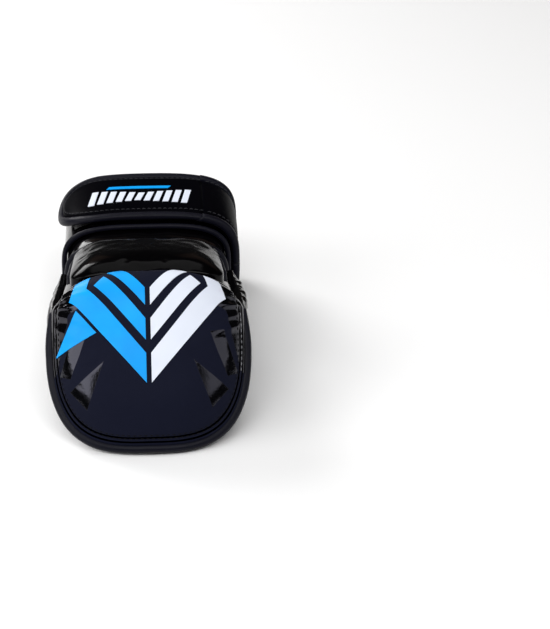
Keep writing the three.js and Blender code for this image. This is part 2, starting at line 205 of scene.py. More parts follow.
def sweep(rings, closed_path=False):
    """Points and faces of a skin through closed rings of points, with flat ends unless the path closes."""
    count, around = rings.shape[:2]
    faces = []
    for i in range(count if closed_path else count - 1):
        here = i * around
        ahead = (i + 1) % count * around
        for j in range(around):
            k = (j + 1) % around
            faces.append((here + j, here + k, ahead + k, ahead + j))
    if not closed_path:
        faces.append(tuple(range(around))[::-1])
        faces.append(tuple((count - 1) * around + j for j in range(around)))
    return rings.reshape(-1, 3), faces


def oval(around, width, height, power=2.0):
    """A closed section as two columns of offsets."""
    turn = np.linspace(0, 2 * math.pi, around, endpoint=False)
    reach = super_radius(turn, width, height, power)
    return np.stack([reach * np.cos(turn), reach * np.sin(turn)], axis=-1)


def tube(path, side, up, section):
    """A section swept along a path: its columns lie along side and up."""
    return sweep(path[:, None] + section[None, :, :1] * side[:, None] + section[None, :, 1:] * up[:, None])


def under(limit, values, faces):
    """For each face, whether the mean of its corners' values is under a limit."""
    return [np.mean(values[list(face)]) < limit for face in faces]


def finished(piece):
    """Applies a subdivision, so that the piece's own mesh is its final one."""
    piece.modifiers.new("smooth", "SUBSURF").levels = 1
    graph = bpy.context.evaluated_depsgraph_get()
    mesh = bpy.data.meshes.new_from_object(piece.evaluated_get(graph), depsgraph=graph)
    piece.modifiers.clear()
    piece.data = mesh
    return piece


def vectors_of(vertices, kind):
    values = np.empty(len(vertices) * 3)
    vertices.foreach_get(kind, values)
    return values.reshape(-1, 3)


def points_of(piece):
    return vectors_of(piece.data.vertices, "co") / MM


def normals_of(piece):
    return vectors_of(piece.data.vertices, "normal")


def move_points(piece, points):
    piece.data.vertices.foreach_set("co", (points * MM).ravel())
    piece.data.update()


def push_out(piece, distance):
    """Moves each point of a piece along its normal."""
    move_points(piece, points_of(piece) + normals_of(piece) * distance[:, None])


def marks_of(piece, *marks):
    """The values of some marks at each point."""
    found = []
    for mark in marks:
        values = np.empty(len(piece.data.vertices))
        piece.data.attributes[mark].data.foreach_get("value", values)
        found.append(values)
    return found


def sewn(face, radius, start, width):
    """1 where a padded piece is sewn down: all but its upper face, and the rim of that."""
    return np.where(face < 0.99, 1.0, smooth((radius - start) / width))


CLOTH_FRAMES = 20
CLOTH = {
    "quality": 6,
    "mass": 0.2,
    "tension_stiffness": 20,
    "compression_stiffness": 12,
    "shear_stiffness": 8,
    "bending_stiffness": 0.3,
    "use_pressure": True,
    "vertex_group_mass": "sewn",
}


def puff(piece, pressure, reach, pinned, slack):
    """Inflates a padded piece as cloth. pinned is 1 where it is sewn. No point moves further than reach."""
    group = piece.vertex_groups.new(name="sewn")
    for i, weight in enumerate(np.clip(pinned, 0, 1)):
        if weight > 0.01:
            group.add([i], float(weight), "REPLACE")
    cloth = piece.modifiers.new("puff", "CLOTH")
    for name, value in {**CLOTH, "uniform_pressure_force": pressure, "shrink_min": -slack}.items():
        setattr(cloth.settings, name, value)
    cloth.settings.effector_weights.gravity = 0
    cloth.collision_settings.use_collision = False
    cloth.point_cache.frame_start = 1
    cloth.point_cache.frame_end = CLOTH_FRAMES
    scene = bpy.context.scene
    for number in range(1, CLOTH_FRAMES + 1):
        scene.frame_set(number)
    graph = bpy.context.evaluated_depsgraph_get()
    made = piece.evaluated_get(graph).to_mesh()
    rest = points_of(piece)
    moved = vectors_of(made.vertices, "co") / MM - rest
    far = np.linalg.norm(moved, axis=1, keepdims=True)
    piece.modifiers.clear()
    piece.vertex_groups.clear()
    move_points(piece, rest + moved * np.minimum(1, reach / np.maximum(far, 1e-9)))
    scene.frame_set(1)


# ---------------------------------------------------------------- materials
def shader_of(material):
    return material.node_tree.nodes["Principled BSDF"]


def new_material(name):
    material = bpy.data.materials.new(name)
    material.use_nodes = True
    return material, material.node_tree, shader_of(material)


def set_values(node, values):
    for socket, value in values.items():
        node.inputs[socket].default_value = value


def texture(tree, kind, scale, **values):
    """A texture node in object coordinates; scale is in features per millimetre."""
    place = tree.nodes.new("ShaderNodeTexCoord")
    node = tree.nodes.new(kind)
    set_values(node, {"Scale": scale / MM, **values})
    tree.links.new(place.outputs["Object"], node.inputs["Vector"])
    return node


def read_mark(tree, mark):
    node = tree.nodes.new("ShaderNodeAttribute")
    node.attribute_name = mark
    return node.outputs["Fac"]


def math_node(tree, kind, *values):
    """A sum or comparison of values, each an output or a number."""
    node = tree.nodes.new("ShaderNodeMath")
    node.operation = kind
    for socket, value in zip(node.inputs, values):
        if isinstance(value, bpy.types.NodeSocket):
            tree.links.new(value, socket)
        else:
            socket.default_value = value
    return node.outputs["Value"]


def ramp(tree, source, low, high, start=0.0, end=1.0):
    node = tree.nodes.new("ShaderNodeMapRange")
    set_values(node, {"From Min": start, "From Max": end, "To Min": low, "To Max": high})
    tree.links.new(source, node.inputs["Value"])
    return node.outputs["Result"]


def two_tone(tree, factor, low, high):
    node = tree.nodes.new("ShaderNodeMix")
    node.data_type = "RGBA"
    set_values(node, {"A": (*low, 1), "B": (*high, 1)})
    tree.links.new(factor, node.inputs["Factor"])
    return node.outputs["Result"]


def bump(tree, shader, layers):
    """Adds bump layers, each (height output, strength, distance in millimetres)."""
    below = None
    for height, strength, distance in layers:
        node = tree.nodes.new("ShaderNodeBump")
        set_values(node, {"Strength": strength, "Distance": distance * MM})
        tree.links.new(height, node.inputs["Height"])
        if below:
            tree.links.new(below, node.inputs["Normal"])
        below = node.outputs["Normal"]
    tree.links.new(below, shader.inputs["Normal"])


def leather(name, tones, roughness, grain, creases, specular):
    """Synthetic leather: a fine pebble grain, soft creases, and uneven gloss."""
    material, tree, shader = new_material(name)
    patches = texture(tree, "ShaderNodeTexNoise", 0.03, Detail=4.0)
    pebbles = texture(tree, "ShaderNodeTexVoronoi", 1.1)
    folds = texture(tree, "ShaderNodeTexNoise", 0.11, Detail=5.0, Distortion=0.6)
    speckle = texture(tree, "ShaderNodeTexNoise", 2.4, Detail=3.0)
    tree.links.new(two_tone(tree, patches.outputs["Fac"], *tones), shader.inputs["Base Color"])
    gloss = ramp(tree, speckle.outputs["Fac"], roughness * 0.82, roughness * 1.22, 0.3, 0.7)
    tree.links.new(gloss, shader.inputs["Roughness"])
    layers = (
        (folds.outputs["Fac"], creases, 1.2),
        (pebbles.outputs["Distance"], grain, 0.25),
        (speckle.outputs["Fac"], grain * 0.5, 0.12),
    )
    bump(tree, shader, layers)
    set_values(shader, {"Specular IOR Level": specular})
    return material


def polygon_mask(tree, outlines, softness=0.12):
    """1 inside any of some convex outlines, drawn in millimetres across and along and mirrored across."""
    place = tree.nodes.new("ShaderNodeCombineXYZ")
    place.inputs["Z"].default_value = 1
    tree.links.new(math_node(tree, "ABSOLUTE", read_mark(tree, "across")), place.inputs["X"])
    tree.links.new(read_mark(tree, "along"), place.inputs["Y"])
    anywhere = None
    for outline in outlines:
        middle = np.mean(outline, axis=0)
        inside = None
        for a, b in zip(np.array(outline, float), np.roll(outline, -1, axis=0)):
            inward = unit(np.array([a[1] - b[1], b[0] - a[0]]))
            inward *= np.sign(inward @ (middle - a))
            line = tree.nodes.new("ShaderNodeVectorMath")
            line.operation = "DOT_PRODUCT"
            line.inputs[1].default_value = (*inward, -inward @ a)
            tree.links.new(place.outputs["Vector"], line.inputs[0])
            depth = line.outputs["Value"]
            inside = math_node(tree, "MINIMUM", inside, depth) if inside else depth
        anywhere = math_node(tree, "MAXIMUM", anywhere, inside) if anywhere else inside
    return ramp(tree, anywhere, 0, 1, -softness, softness)


def line_mask(tree, mark, places, half_width):
    """1 within half a width of some values of a mark."""
    anywhere = 0.0
    for place in places:
        near = math_node(tree, "COMPARE", read_mark(tree, mark), place, half_width)
        anywhere = math_node(tree, "MAXIMUM", anywhere, near)
    return anywhere


def finish_inside(material, mask, colour, roughness, specular):
    """Gives the inside of a mask another colour and finish, flush with the leather round it; one mask carries
    painted shade.
    """
    tree = material.node_tree
    shader = shader_of(material)
    values = {"Base Color": (*colour, 1), "Roughness": roughness, "Specular IOR Level": specular}
    for socket, inside in values.items():
        kind = "RGBA" if socket == "Base Color" else "VALUE"
        node = tree.nodes.new("ShaderNodeMix")
        node.data_type = "RGBA" if kind == "RGBA" else "FLOAT"
        outer, inner = [i for i in node.inputs if i.name in "AB" and i.type == kind]
        links = shader.inputs[socket].links
        if links:
            tree.links.new(links[0].from_socket, outer)
        else:
            outer.default_value = shader.inputs[socket].default_value
        inner.default_value = inside
        tree.links.new(mask, node.inputs["Factor"])
        output = [o for o in node.outputs if o.type == kind][0]
        tree.links.new(output, shader.inputs[socket])


def woven(name, dark, light, threads=1.4, roughness=0.92, sheen=0.25):
    """A plain weave: two crossing sets of threads, so many to a millimetre."""
    material, tree, shader = new_material(name)
    heights = []
    for direction in ("X", "Y"):
        wave = texture(tree, "ShaderNodeTexWave", threads * 0.33, Distortion=0.6, Detail=1.0)
        wave.bands_direction = direction
        heights.append(wave.outputs["Fac"])
    crossing = math_node(tree, "MULTIPLY", *heights)
    fuzz = texture(tree, "ShaderNodeTexNoise", 1.6, Detail=4.0)
    tree.links.new(two_tone(tree, fuzz.outputs["Fac"], dark, light), shader.inputs["Base Color"])
    bump(tree, shader, [(crossing, 0.6, 0.35), (fuzz.outputs["Fac"], 0.4, 0.2)])
    set_values(shader, {"Roughness": roughness, "Specular IOR Level": 0.2})
    set_values(shader, {"Sheen Weight": sheen, "Sheen Roughness": 0.6})
    return material


def film(name, low, high):
    """A printed film: even colour with faint mottling and a smooth surface."""
    material, tree, shader = new_material(name)
    mottle = texture(tree, "ShaderNodeTexNoise", 0.05, Detail=3.0)
    orange_peel = texture(tree, "ShaderNodeTexNoise", 1.2, Detail=2.0)
    tree.links.new(two_tone(tree, mottle.outputs["Fac"], low, high), shader.inputs["Base Color"])
    bump(tree, shader, [(orange_peel.outputs["Fac"], 0.06, 0.1)])
    set_values(shader, {"Roughness": 0.42, "Specular IOR Level": 0.15})
    return material


def pile(name, dark, light):
    """Hook-and-loop tape: a dense field of small loops."""
    material, tree, shader = new_material(name)
    loops = texture(tree, "ShaderNodeTexVoronoi", 1.3)
    strands = texture(tree, "ShaderNodeTexNoise", 3.0, Detail=6.0, Distortion=2.0)
    tree.links.new(two_tone(tree, strands.outputs["Fac"], dark, light), shader.inputs["Base Color"])
    bump(tree, shader, [(loops.outputs["Distance"], 0.9, 0.6), (strands.outputs["Fac"], 0.8, 0.4)])
    set_values(shader, {"Roughness": 0.95, "Sheen Weight": 0.4})
    return material


NAVY = ((0.005, 0.006, 0.0145), (0.0065, 0.0078, 0.018))
BLACK = ((0.0004, 0.0003, 0.0005), (0.0009, 0.0007, 0.0009))
STRAP_BLACK = ((0.0008, 0.0008, 0.0016), (0.0014, 0.0014, 0.0026))
EDGE_BLACK = ((0.003, 0.0031, 0.007), (0.0055, 0.0055, 0.011))
PALM_GREY = ((0.009, 0.0095, 0.012), (0.014, 0.0145, 0.018))
matte = leather("matte_leather", NAVY, 0.62, 0.1, 0.1, 0.06)
pad_leather = leather("pad_leather", NAVY, 0.62, 0.1, 0.06, 0.06)
gloss = leather("gloss_leather", BLACK, 0.12, 0.02, 0.15, 0.22)
back_leather = leather("back_leather", BLACK, 0.14, 0.02, 0.08, 0.09)
strap_leather = leather("strap_leather", STRAP_BLACK, 0.36, 0.06, 0.08, 0.008)
edge_leather = leather("edge_leather", EDGE_BLACK, 0.42, 0.1, 0.3, 0.11)
palm_leather = leather("palm_leather", PALM_GREY, 0.62, 0.3, 0.35, 0.3)
set_values(shader_of(pad_leather), {"Specular Tint": (0.8, 0.8, 1, 1)})
lining = woven("lining_cloth", (0.008, 0.008, 0.01), (0.02, 0.02, 0.023))
thread = woven("thread", (0.005, 0.0055, 0.009), (0.012, 0.013, 0.02), threads=3.0, roughness=0.75, sheen=0.1)
dark_thread = woven("dark_thread", (0.0015, 0.0015, 0.003), (0.003, 0.003, 0.006), threads=3.0, sheen=0)
pale_thread = woven("pale_thread", (0.14, 0.145, 0.16), (0.25, 0.255, 0.28), threads=3.0, roughness=0.7)
blue_print = film("blue_print", (0.001, 0.27, 0.78), (0.001, 0.4, 0.95))
white_print = film("white_print", (0.7, 0.745, 0.85), (0.78, 0.82, 0.92))
tape = pile("tape_pile", (0.006, 0.006, 0.0075), (0.0132, 0.0132, 0.0165))

# ---------------------------------------------------------------- the knuckle pad's surface
KNUCKLE = joint_place("knuckle_flex")
TIP = KNUCKLE[1:] + (-84.7, -57.7)  # the pad's middle line starts here, in y and z
SPINE_AT = (-22, 0, 22, 78, 118)
SPINE_SLOPE = (39, 45, 51, 55, -10)  # degrees above level, at each of those
PAD_LENGTH = SPINE_AT[-1]
PAD_MIDDLE = 62  # where it is widest
PAD_TIP_LENGTH = 63.5  # from there to the tip
PAD_HALF = 57
PAD_ROUNDNESS = {"tip": 2.9, "crest": 5.5}  # superellipse exponents
PAD_TAPER = 0.06  # share of the width lost at the crest
PAD_CROWN = 150  # radius that it bends to from side to side
PAD_DEPTH = 25.8
RIM_DROP = 13.8  # how far the skin curls down at the rim
RIM_RISE = 7  # how far the lining curls up there
BINDING_HALF = (2.7, 2.8)
SEAM_GAP = 0.35

line_s = np.linspace(SPINE_AT[0], SPINE_AT[-1], 1401)
line_slope = np.radians(np.interp(line_s, SPINE_AT, SPINE_SLOPE))
line_step = np.diff(line_s, prepend=line_s[0])
line_y = np.cumsum(np.cos(line_slope) * line_step)
line_z = np.cumsum(np.sin(line_slope) * line_step)
line_y += TIP[0] - np.interp(0, line_s, line_y)
line_z += TIP[1] - np.interp(0, line_s, line_z)


def pad_up(s):
    """The pad's outward direction at s along its middle line."""
    slope = np.interp(s, line_s, line_slope)
    return vec(np.zeros_like(slope), -np.sin(slope), np.cos(slope))


def on_pad(x, s, lift):
    """x across the pad, s along its middle line, lift above its uncurled face."""
    x, s, lift = np.broadcast_arrays(np.asarray(x, float), np.asarray(s, float), np.asarray(lift, float))
    rise = lift - x * x / (2 * PAD_CROWN)
    middle = vec(x, np.interp(s, line_s, line_y), np.interp(s, line_s, line_z))
    return middle + pad_up(s) * rise[..., None]


def pad_place(radius, angle):
    """The pad's outline point (x, s) at a share of its radius."""
    to_crest = np.sin(angle) > 0
    length = np.where(to_crest, PAD_LENGTH - PAD_MIDDLE, PAD_TIP_LENGTH)
    roundness = np.where(to_crest, PAD_ROUNDNESS["crest"], PAD_ROUNDNESS["tip"])
    reach = radius * super_radius(angle, PAD_HALF, length, roundness)
    s = PAD_MIDDLE + reach * np.sin(angle)
    taper = 1 - PAD_TAPER * np.maximum(0, (s - PAD_MIDDLE) / (PAD_LENGTH - PAD_MIDDLE)) ** 1.5
    return reach * np.cos(angle) * taper, s


def pad_top(radius):
    return -RIM_DROP * radius**6


def pad_bottom(radius):
    return -PAD_DEPTH + RIM_RISE * radius**4


# ---------------------------------------------------------------- the knuckle pad
# Gloss shapes flush in the matte leather, as convex outlines in distance from the middle line and along it.
GLOSS_SHARDS = (
    [(27, 45), (47.5, 28.5), (37.5, 17)],
    [(37, 62), (45, 63.5), (53.5, 38.5), (47, 36)],
    [(39, 79), (64, 66), (64, 130), (46, 130)],
    [(46, 79), (50, 62), (56, 40), (64, 34), (64, 79)],
)
STITCH_INSETS = (1.3, 2.8)
SEAM_RIMS = [1 - inset / PAD_HALF for inset in STITCH_INSETS]
shards = polygon_mask(pad_leather.node_tree, GLOSS_SHARDS)
finish_inside(pad_leather, shards, (0.0006, 0.0006, 0.0008), 0.11, 0.4)
# Painted shade: the two stitch lines are painted black with no gloss, for the shade in their grooves.
painted_seam_shade = line_mask(pad_leather.node_tree, "rim", SEAM_RIMS, 0.006)
finish_inside(pad_leather, painted_seam_shade, (0, 0, 0), 0.7, 0.0)

GATHERS = {"from": 68, "to": 108, "pitch": 6.8, "level": 92}  # along the pad; they fan out from the level one


def gathers(x, s):
    """Puckered folds that fan in from each side of the pad's crest, as a height from 0 to 1."""
    rng = np.random.default_rng(11)
    height = np.zeros_like(x)
    for side in (-1, 1):
        for at in np.arange(GATHERS["from"], GATHERS["to"], GATHERS["pitch"]):
            start = at + rng.uniform(-1.2, 1.2)
            slant = (at - GATHERS["level"]) * 0.016 + rng.uniform(-0.05, 0.05)
            width = rng.uniform(2.0, 2.7)
            reach = rng.uniform(17, 27)
            inward = PAD_HALF - side * x
            off = (s - start - slant * inward) / (width * (1 + 0.02 * inward))
            fade = smooth(1.25 - inward / reach)
            height += rng.uniform(0.6, 1.0) * fade * np.exp(-off * off)
    return height


def make_knuckle_pad():
    u, v, w, faces = block((66, 76, 4))
    radius, angle = disc(u, v)
    # The skin goes on a little under the binding.
    tucked = 0.03 * smooth((radius - 0.8) / 0.2) * smooth((0.6 - np.sin(angle)) / 0.3)
    x, s = pad_place(radius * (1 + tucked), angle)
    share = (w + 1) / 2
    points = on_pad(x, s, mix(pad_bottom(radius), pad_top(radius), share))
    marks = {"rim": radius, "face": w, "across": x, "along": s}
    materials = [pad_leather, lining]
    piece = add_mesh("knuckle_pad", points, faces, materials, under(-0.6, w, faces), marks)
    puff(piece, 5.0, 6.0, sewn(w, radius, 0.93, 0.05), slack=0.003)
    finished(piece)
    x, s, face, rim = marks_of(piece, "across", "along", "face", "rim")
    outside = smooth((face - 0.5) / 0.5) * smooth((0.985 - rim) / 0.06)
    soft = ripple(np.stack([x, s], axis=-1), 26, 3) * 0.35
    seam = -0.6 * sum(np.exp(-(((rim - at) / 0.011) ** 2)) for at in SEAM_RIMS)
    push_out(piece, outside * (gathers(x, s) * 1.25 + soft + seam))
    return piece


knuckle_pad = make_knuckle_pad()
wear(
    knuckle_pad, "knuckle", "matte_leather",
    "knuckle_pad_skin", "knuckle_foam_firm", "knuckle_foam_soft", "finger_side_lining",
)

pad_faces = [tuple(face.vertices) for face in knuckle_pad.data.polygons]
pad_tree = BVHTree.FromPolygons(points_of(knuckle_pad).tolist(), pad_faces)


RAY_START = 40.0  # above the pad's uncurled face
RAY_LENGTH = 90.0
RAY_MISS = 46.0  # how far down a point is put when its ray goes past the rim


def on_skin(x, s):
    """Points on the finished pad's skin, with the skin's own normals."""
    starts = on_pad(x, s, RAY_START)
    ups = pad_up(s) * np.ones((len(starts), 1))
    places, normals = [], []
    for start, up in zip(starts, ups):
        hit, normal, _, _ = pad_tree.ray_cast(Vector(start), Vector(-up), RAY_LENGTH)
        if hit is None:
            hit, normal = Vector(start) - RAY_MISS * Vector(up), Vector(up)
        places.append(hit)
        normals.append(normal)
    return np.array(places), np.array(normals)


# ---------------------------------------------------------------- prints, stitches and bindings
def print_film(name, outline, material, place, body, thickness=0.35, spacing=2.2):
    """A thin closed film cut to a flat outline, laid on a surface by place(a, b) -> points, normals."""
    outline = np.asarray(outline, float)
    dense = []
    for a, b in zip(outline, np.roll(outline, -1, axis=0)):
        steps = max(1, int(np.linalg.norm(b - a) / spacing))
        dense += [mix(a, b, k / steps) for k in range(steps)]
    low, high = outline.min(0), outline.max(0)
    grid = [
        (a, b)
        for row, b in enumerate(np.arange(low[1], high[1], spacing * 0.87))
        for a in np.arange(low[0] + (row % 2) * spacing / 2, high[0], spacing)
    ]
    flat = [Vector(p) for p in dense] + [Vector(p) for p in grid]
    border = list(range(len(dense)))
    made, _, triangles, *_ = delaunay_2d_cdt(flat, [], [border], 1, 0.05)
    made = np.array([tuple(p) for p in made])
    top, normals = place(made[:, 0], made[:, 1])
    upper, lower = top + normals * thickness, top - normals * 0.5
    count = len(made)
    faces = [tuple(t) for t in triangles] + [tuple(i + count for i in reversed(t)) for t in triangles]
    edges = [edge for triangle in triangles for edge in zip(triangle, triangle[1:] + triangle[:1])]
    both_ways = set(edges)
    for a, b in edges:
        if (b, a) not in both_ways:
            faces.append((b, a, a + count, b + count))
    used = sorted({i for face in faces for i in face})
    renumber = {old: new for new, old in enumerate(used)}
    points = np.concatenate([upper, lower])[used]
    faces = [tuple(renumber[i] for i in face) for face in faces]
    piece = add_mesh(name, points, faces, material, crisp=math.radians(60))
    if body:
        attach(piece, body)
    return piece


def between(at, run, points):
    """Rows of points read at distances between those of run."""
    return np.stack([np.interp(at, run, points[:, k]) for k in range(3)], axis=-1)


def evenly(points, spacing):
    """Points along a polyline at an even spacing, with the direction there."""
    steps = np.linalg.norm(np.diff(points, axis=0), axis=1)
    run = np.concatenate([[0], np.cumsum(steps)])
    at = np.arange(spacing / 2, run[-1], spacing)
    direction = unit(between(at + 0.3, run, points) - between(at - 0.3, run, points))
    return at / run[-1], between(at, run, points), direction


STITCH_LENGTH = 2.3
STITCH_GAP = 1.1
STITCH_RADIUS = 0.34
STITCH_SINK = 0.1
# A stitch's rings: place along it, radius and height, each a share of the thread's own length or radius.
STITCH_RINGS = ((-0.5, 0.35, -0.8), (-0.36, 0.9, 0.1), (0.0, 1.0, 0.45), (0.36, 0.9, 0.1), (0.5, 0.35, -0.8))


def stitch_row(name, path, normals, material):
    """A row of stitches along a path: short rounded threads that dip into the surface at both ends."""
    share, places, along = evenly(path, STITCH_LENGTH + STITCH_GAP)
    run = np.linspace(0, 1, len(path))
    ups = unit(between(share, run, normals))
    turn = np.linspace(0, 2 * math.pi, 6, endpoint=False)
    points, faces = [], []
    for place, direction, up in zip(places, along, ups):
        side = unit(np.cross(direction, up))
        rings = np.array(
            [
                place + direction * (a * STITCH_LENGTH) + up * (lift * STITCH_RADIUS - STITCH_SINK)
                + STITCH_RADIUS * r * (np.cos(turn)[:, None] * side + np.sin(turn)[:, None] * up)
                for a, r, lift in STITCH_RINGS
            ]
        )
        ring_points, ring_faces = sweep(rings)
        start = len(points) * len(ring_points)
        points.append(ring_points)
        faces += [tuple(start + i for i in face) for face in ring_faces]
    return add_mesh(name, np.concatenate(points), faces, material)


def rim_path(low, high, count, inset=0.0):
    """(x, s) along the pad's rim between two angles, and the outward direction in that plane."""
    angle = np.radians(np.linspace(low, high, count))
    x, s = pad_place(1.0, angle)
    ahead_x, ahead_s = pad_place(1.0, angle + 0.01)
    behind_x, behind_s = pad_place(1.0, angle - 0.01)
    out = unit(np.stack([ahead_s - behind_s, behind_x - ahead_x], axis=-1))
    return x - out[:, 0] * inset, s - out[:, 1] * inset, out


BINDING_SPAN = (-212, 32)  # degrees round the pad, from one end of the crest round the tip to the other
BINDING_TUCK = (3.0, 4.5)  # how far its ends go in and down


def make_pad_binding():
    x, s, out = rim_path(*BINDING_SPAN, 240)
    share = np.linspace(0, 1, len(x))
    tuck = smooth(1 - share / 0.16) + smooth((share - 0.84) / 0.16)  # the binding turns under at its ends
    away = SEAM_GAP + BINDING_HALF[0] - BINDING_TUCK[0] * tuck
    lift = (pad_top(1) + pad_bottom(1)) / 2 - BINDING_TUCK[1] * tuck
    path = on_pad(x + out[:, 0] * away, s + out[:, 1] * away, lift)
    up = pad_up(s)
    side = unit(on_pad(x + out[:, 0], s + out[:, 1], lift) - on_pad(x, s, lift))
    points, faces = tube(path, side, up, oval(20, *BINDING_HALF, 2.4))
    rings = points.reshape(len(path), -1, 3)
    wobble = 1 + 0.035 * ripple(np.stack([share * 320, share * 0], axis=-1), 14, 5)
    rings = path[:, None] + (rings - path[:, None]) * wobble[:, None, None]
    return add_mesh("knuckle_rim_binding", rings.reshape(-1, 3), faces, edge_leather)


pad_binding = make_pad_binding()
wear(pad_binding, "knuckle", "edging", "knuckle_pad_binding")

for name, span, inset, material in (
    ("pad_rim_stitches_1", (-196, 16), STITCH_INSETS[0], dark_thread),
    ("pad_rim_stitches_2", (-196, 16), STITCH_INSETS[1], dark_thread),
    ("pad_side_stitches", (-22, 14), 0.7, pale_thread),
):
    rim_x, rim_s, _ = rim_path(*span, 200, inset)
    rim_points, rim_normals = on_skin(rim_x, rim_s)
    stitches = stitch_row(name, rim_points, rim_normals, material)
    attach(stitches, "knuckle")


def mirrored(outline):
    return [(-x, s) for x, s in reversed(outline)]


# Three nested chevrons that point to the tip, cut in two by a dark middle line. Each outline is half of one,
# as (x, s), and its mirror image is the other half.
CHEVRONS = (
    [(1.5, 31), (1.5, 49), (36.5, 92), (34, 104), (43, 101), (47, 84)],
    [(1.5, 57), (1.5, 70), (26, 100.5), (32, 93.5)],
    [(1.5, 78), (1.5, 89), (20, 112), (24, 105)],
)
LONG_SHARD = [(-31, 62.5), (-43, 76.5), (-55.6, 50)]
for side_name, flip, colour in (("left", mirrored, blue_print), ("right", list, white_print)):
    for number, outline in enumerate(CHEVRONS):
        print_film(f"print_chevron_{number + 1}_{side_name}", flip(outline), colour, on_skin, "knuckle")
print_film("print_long_shard", LONG_SHARD, blue_print, on_skin, "knuckle", 0.4)

# ---------------------------------------------------------------- the hand's surface
HAND_LOW, HAND_HIGH = box("hand_shell")
HAND_TOP = (74.0, 65.6)
HAND_BOTTOM = (11.0, 9.6)
HAND_HALF = (55.5, 50.5)
HAND_ROUNDNESS = 3.2
HAND_LEAN = 13  # how far the front edge leans back


def hand_section(y, lift):
    t = smooth((y - HAND_LOW[1]) / (HAND_HIGH[1] - HAND_LOW[1]))
    top, bottom = mix(HAND_TOP[0], HAND_TOP[1], t), mix(HAND_BOTTOM[0], HAND_BOTTOM[1], t)
    return (top + bottom) / 2, mix(HAND_HALF[0], HAND_HALF[1], t) + lift, (top - bottom) / 2 + lift


def on_hand(angle, y, lift):
    """angle in degrees round the hand, from the thumb's side over the back."""
    turn = np.radians(angle)
    middle, a, b = hand_section(y, lift)
    reach = super_radius(turn, a, b, HAND_ROUNDNESS)
    return vec(reach * np.cos(turn), y, middle + reach * np.sin(turn))


def on_hand_back(x, y, lift):
    middle, a, b = hand_section(y, lift)
    inside = np.maximum(1 - np.abs(x / a) ** HAND_ROUNDNESS, 1e-6)
    return vec(x, y, middle + b * inside ** (1 / HAND_ROUNDNESS))


def hand_front(angle):
    """The shell's front edge, which leans back below the knuckle joint."""
    return HAND_LOW[1] + HAND_LEAN * (1 - np.maximum(np.sin(np.radians(angle)), -0.6)) ** 1.2


def make_panel(name, cells, angles, front, rear, lifts, materials, crumple, seed):
    """A curved panel of the hand between two angles: leather outside, lining inside."""
    u, v, w, faces = block(cells)
    angle = mix(angles[0], angles[1], (u + 1) / 2)
    y = mix(front(angle), rear, (v + 1) / 2)
    points = on_hand(angle, y, mix(lifts[0], lifts[1], (w + 1) / 2))
    piece = finished(add_mesh(name, points, faces, materials, under(-0.6, w, faces)))
    points = points_of(piece)
    outward = np.sign((normals_of(piece) * (points - points.mean(0))).sum(1))
    push_out(piece, outward * ripple(points, 22, seed) * crumple)
    return piece


def straight_front(node):
    """A straight front edge, where the CAD node has its own."""
    at = box(node)[0][1]
    return lambda angle: np.full_like(angle, at)


hand_shell = make_panel(
    "hand_shell_leather", (64, 26, 1), (-3, 208), hand_front, HAND_HIGH[1], (-2.95, 0),
    [gloss, lining], 0.25, 21,
)
wear(hand_shell, "hand", "gloss_leather", "hand_shell", "hand_lining")
palm = make_panel(
    "palm_leather", (24, 10, 1), (-151, -64), straight_front("palm_panel"), HAND_HIGH[1], (-1.4, 0),
    [palm_leather, lining], 0.25, 22,
)
wear(palm, "hand", "matte_leather", "palm_panel")
gusset = make_panel(
    "thumb_gusset_leather", (20, 6, 1), (-63, -4), straight_front("thumb_gusset"), HAND_HIGH[1], (-1.4, 0),
    [palm_leather, lining], 0.2, 23,
)
wear(gusset, "hand", "matte_leather", "thumb_gusset")

# ---------------------------------------------------------------- the pad on the back of the hand
BACK_LOW, BACK_HIGH = box("hand_back_skin")
BACK_HALF = (48.0, 45.0)
BACK_MIDDLE = (BACK_LOW[1] + BACK_HIGH[1]) / 2
BACK_ROUNDNESS = 8
BACK_LIFT = (1.1, 13.0)  # from its underside to its middle, above the shell
BACK_DROP = 6.0  # how far it falls to its rim
PIPING_AWAY = 1.9
PIPING_LIFT = 2.4
PIPING_RADIUS = 1.35


def back_place(radius, angle):
    reach = radius * super_radius(angle, 1, 1, BACK_ROUNDNESS)
    along = reach * np.sin(angle)
    half = mix(BACK_HALF[0], BACK_HALF[1], (along + 1) / 2)
    return reach * np.cos(angle) * half, BACK_MIDDLE + along * (BACK_HIGH[1] - BACK_LOW[1]) / 2


BACK_DIAMOND = [(-2, 13), (7.5, 2), (-2, -16)]  # matte in the middle of the gloss, rear to front
diamond = polygon_mask(back_leather.node_tree, [BACK_DIAMOND])
finish_inside(back_leather, diamond, (0.0006, 0.0006, 0.001), 0.7, 0.02)


def make_back_pad():
    u, v, w, faces = block((54, 40, 4))
    radius, angle = disc(u, v)
    x, y = back_place(radius, angle)
    high = BACK_LIFT[1] - BACK_DROP * radius**5
    points = on_hand_back(x, y, mix(BACK_LIFT[0], high, (w + 1) / 2))
    marks = {"rim": radius, "face": w, "across": x, "along": y}
    piece = add_mesh("hand_back_pad", points, faces, back_leather, marks=marks)
    puff(piece, 4.0, 4.0, sewn(w, radius, 0.95, 0.04), slack=0.004)
    finished(piece)
    x, y, face, rim = marks_of(piece, "across", "along", "face", "rim")
    flat = np.stack([x, y], axis=-1)
    soft = 0.4 * ripple(flat, 30, 8) + 0.15 * ripple(flat, 9, 9)
    push_out(piece, smooth((face - 0.5) / 0.5) * smooth((1 - rim) / 0.1) * soft)
    return piece


back_pad = make_back_pad()
wear(back_pad, "hand", "gloss_leather", "hand_back_skin", "hand_back_foam")


